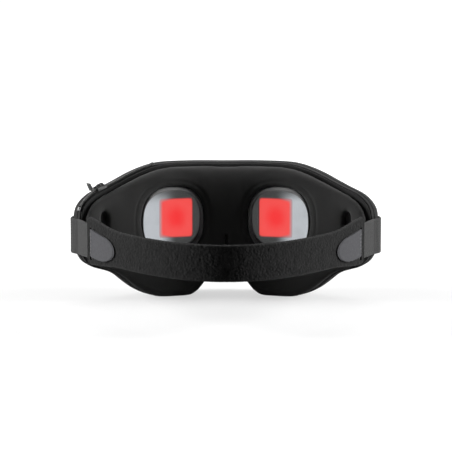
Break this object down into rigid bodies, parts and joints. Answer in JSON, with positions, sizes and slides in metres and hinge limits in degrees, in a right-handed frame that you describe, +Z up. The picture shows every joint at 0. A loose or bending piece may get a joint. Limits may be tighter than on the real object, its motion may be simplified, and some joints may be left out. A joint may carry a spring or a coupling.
{
  "type": "eye massager mask",
  "caption": "Curved padded eye mask with two glowing light windows, zipped shell, front control pod and a wide elastic head strap with hook tabs",
  "frame": {"origin": "centre of the mask's and strap's bounding box at the level of the two lower lobes that it stands on", "axes": "+Z up, -Y towards the wearer's head and the strap, +Y out of the mask's front, X across the temples"},
  "size_m": [0.217, 0.1746, 0.096],
  "materials": {
    "knit": "black knitted fabric over foam",
    "shell_cloth": "black woven shell cloth",
    "zip_tape": "black zip tape",
    "dark_metal": "black nickel",
    "strap_pile": "black brushed loop pile",
    "grey_webbing": "ribbed grey elastic",
    "hook_grey": "grey nylon hook tab",
    "black_plastic": "satin black",
    "lens": "clear, lightly frosted",
    "reflector": "pale satin",
    "red_light": "glowing red diffuser",
    "white_light": "milky white",
    "circuit_board": "green solder mask",
    "battery_foil": "foil pouch",
    "ribbon_cable": "amber film",
    "bright_metal": "bright steel",
    "chassis_plastic": "moulded dark grey"
  },
  "bodies": {
    "mask": {"anchor_patch_left": "shell_cloth", "anchor_patch_right": "shell_cloth", "battery": "battery_foil", "chassis": "chassis_plastic", "eye_frame_left": "black_plastic", "eye_frame_right": "black_plastic", "face_pad": "knit", "front_cover": "shell_cloth", "inner_panel": "chassis_plastic", "lens_left": "lens", "lens_right": "lens", "light_board_left": "circuit_board", "light_board_right": "circuit_board", "light_plug_left": "white_light", "light_plug_right": "white_light", "light_ribbon_left": "ribbon_cable", "light_ribbon_right": "ribbon_cable", "light_screw_left_1": "bright_metal", "light_screw_left_2": "bright_metal", "light_screw_right_1": "bright_metal", "light_screw_right_2": "bright_metal", "light_window_left": "red_light", "light_window_right": "red_light", "main_board": "circuit_board", "mode_switch_dome": "bright_metal", "motor_cup_left": "bright_metal", "motor_cup_right": "bright_metal", "motor_lid_left": "bright_metal", "motor_lid_right": "bright_metal", "motor_pin_left": "bright_metal", "motor_pin_right": "bright_metal", "motor_ribbon_left": "ribbon_cable", "motor_ribbon_right": "ribbon_cable", "pod_housing": "black_plastic", "pod_lead": "ribbon_cable", "port_shell": "bright_metal", "port_tongue": "black_plastic", "power_switch_dome": "bright_metal", "reflector_left": "reflector", "reflector_right": "reflector", "status_light": "white_light", "switch_board": "circuit_board", "webbing_anchor_left": "grey_webbing", "webbing_anchor_right": "grey_webbing", "zip_bottom_stop": "dark_metal", "zip_tape": "zip_tape", "zip_teeth": "dark_metal", "zip_top_stop": "dark_metal"},
    "zip_slider": {"zip_slider": "dark_metal"},
    "zip_pull": {"zip_pull": "dark_metal"},
    "power_button": {"power_button": "black_plastic"},
    "mode_button": {"mode_button": "black_plastic"},
    "left_rotor": {"motor_weight_left": "dark_metal"},
    "right_rotor": {"motor_weight_right": "dark_metal"},
    "strap": {"head_strap": "strap_pile", "webbing_left": "grey_webbing", "webbing_right": "grey_webbing"},
    "left_tab": {"hook_tab_left": "hook_grey"},
    "right_tab": {"hook_tab_right": "hook_grey"}
  },
  "joints": [
    {"name": "zip_slide", "type": "slide", "parent": "mask", "child": "zip_slider", "axis": [-0.7783, -0.552, -0.2992], "range_m": [-0.008, 0.002]},
    {"name": "zip_pull_flip", "type": "hinge", "parent": "zip_slider", "child": "zip_pull", "pos_m": [-0.08823, 0.03419, 0.08263], "axis": [-0.5791, 0.8152, 0.0026], "range_deg": [0, 145]},
    {"name": "power_press", "type": "slide", "parent": "mask", "child": "power_button", "axis": [0, -1, 0], "range_m": [0, 0.0008], "stiffness_N_per_m": 600},
    {"name": "mode_press", "type": "slide", "parent": "mask", "child": "mode_button", "axis": [0, -1, 0], "range_m": [0, 0.0008], "stiffness_N_per_m": 600},
    {"name": "left_motor_spin", "type": "hinge", "parent": "mask", "child": "left_rotor", "pos_m": [-0.07114, 0.05506, 0.062], "axis": [-0.4499, 0.8931, 0], "continuous": true},
    {"name": "right_motor_spin", "type": "hinge", "parent": "mask", "child": "right_rotor", "pos_m": [0.07114, 0.05506, 0.062], "axis": [0.4499, 0.8931, 0], "continuous": true},
    {"name": "strap_swing", "type": "hinge", "parent": "mask", "child": "strap", "pos_m": [0, 0.00785, 0.0485], "axis": [-1, 0, 0], "range_deg": [-25, 30]},
    {"name": "left_tab_peel", "type": "hinge", "parent": "strap", "child": "left_tab", "pos_m": [-0.09356, -0.00744, 0.0485], "axis": [0, 0, -1], "range_deg": [0, 150]},
    {"name": "right_tab_peel", "type": "hinge", "parent": "strap", "child": "right_tab", "pos_m": [0.09356, -0.00744, 0.0485], "axis": [0, 0, 1], "range_deg": [0, 150]}
  ]
}
